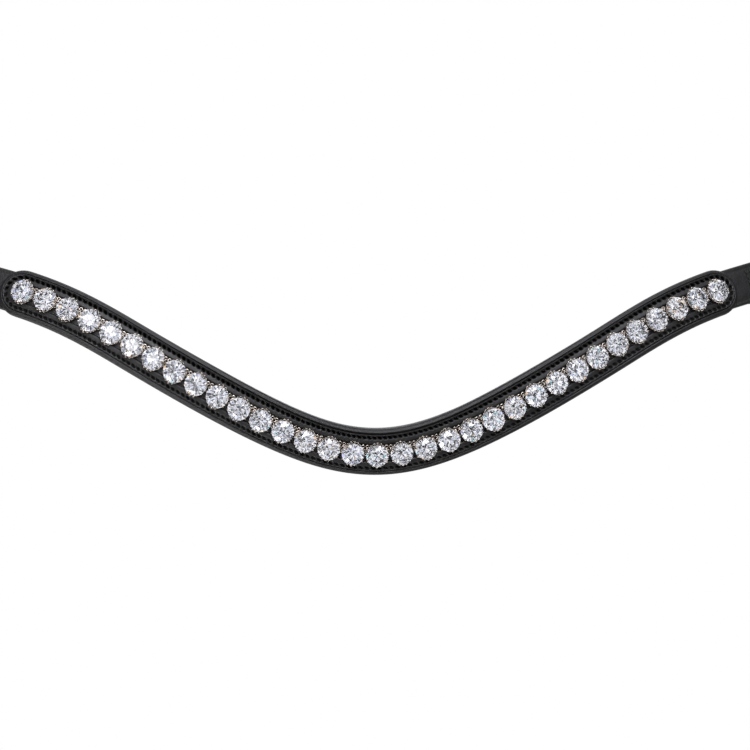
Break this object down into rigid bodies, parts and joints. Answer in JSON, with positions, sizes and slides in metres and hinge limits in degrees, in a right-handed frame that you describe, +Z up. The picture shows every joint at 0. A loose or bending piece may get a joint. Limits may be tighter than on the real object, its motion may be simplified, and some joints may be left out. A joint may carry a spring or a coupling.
{
  "type": "bridle browband",
  "caption": "Wave-shaped padded leather browband of a riding bridle, with a channel of claw-set round stones and a flexing strap loop at each end for the headpiece.",
  "frame": {"origin": "the middle of the back of the lining, where it lies on the horse's forehead", "axes": "+X along the band to the viewer's right, +Y back towards the horse, +Z up; the stones face -Y"},
  "size_m": [0.3884, 0.0757, 0.0804],
  "materials": {
    "black_leather": "smooth black bridle leather with a fine grain and a low sheen",
    "lining_leather": "soft black padded lining leather, matt",
    "padding_felt": "dark felt padding",
    "black_thread": "waxed black sewing thread",
    "silver_metal": "polished silver-coloured metal",
    "clear_crystal": "clear brilliant-cut stone"
  },
  "bodies": {
    "band": {"lining": "lining_leather", "padding": "padding_felt", "base_leather": "black_leather", "border_leather": "black_leather", "upper_stitching": "black_thread", "lower_stitching": "black_thread", "claw_settings": "silver_metal", "setting_links": "silver_metal", "chain_tacks": "black_thread", "left_loop_tongue": "black_leather", "right_loop_tongue": "black_leather", "crystal_01": "clear_crystal", "crystal_02": "clear_crystal", "crystal_03": "clear_crystal", "crystal_04": "clear_crystal", "crystal_05": "clear_crystal", "crystal_06": "clear_crystal", "crystal_07": "clear_crystal", "crystal_08": "clear_crystal", "crystal_09": "clear_crystal", "crystal_10": "clear_crystal", "crystal_11": "clear_crystal", "crystal_12": "clear_crystal", "crystal_13": "clear_crystal", "crystal_14": "clear_crystal", "crystal_15": "clear_crystal", "crystal_16": "clear_crystal", "crystal_17": "clear_crystal", "crystal_18": "clear_crystal", "crystal_19": "clear_crystal", "crystal_20": "clear_crystal", "crystal_21": "clear_crystal", "crystal_22": "clear_crystal", "crystal_23": "clear_crystal", "crystal_24": "clear_crystal", "crystal_25": "clear_crystal", "crystal_26": "clear_crystal", "crystal_27": "clear_crystal", "crystal_28": "clear_crystal", "crystal_29": "clear_crystal", "crystal_30": "clear_crystal", "crystal_31": "clear_crystal", "crystal_32": "clear_crystal", "crystal_33": "clear_crystal"},
    "left_loop": {"left_loop": "black_leather", "left_loop_stitching": "black_thread"},
    "right_loop": {"right_loop": "black_leather", "right_loop_stitching": "black_thread"}
  },
  "joints": [
    {"name": "left_loop_flex", "type": "hinge", "parent": "band", "child": "left_loop", "pos_m": [-0.1487, 0.03115, 0.05726], "axis": [-0.3184, -0.4001, -0.8594], "range_deg": [-20, 75], "stiffness_Nm_per_rad": 0.06},
    {"name": "right_loop_flex", "type": "hinge", "parent": "band", "child": "right_loop", "pos_m": [0.1487, 0.03115, 0.05726], "axis": [-0.3184, 0.4001, 0.8594], "range_deg": [-20, 75], "stiffness_Nm_per_rad": 0.06}
  ]
}
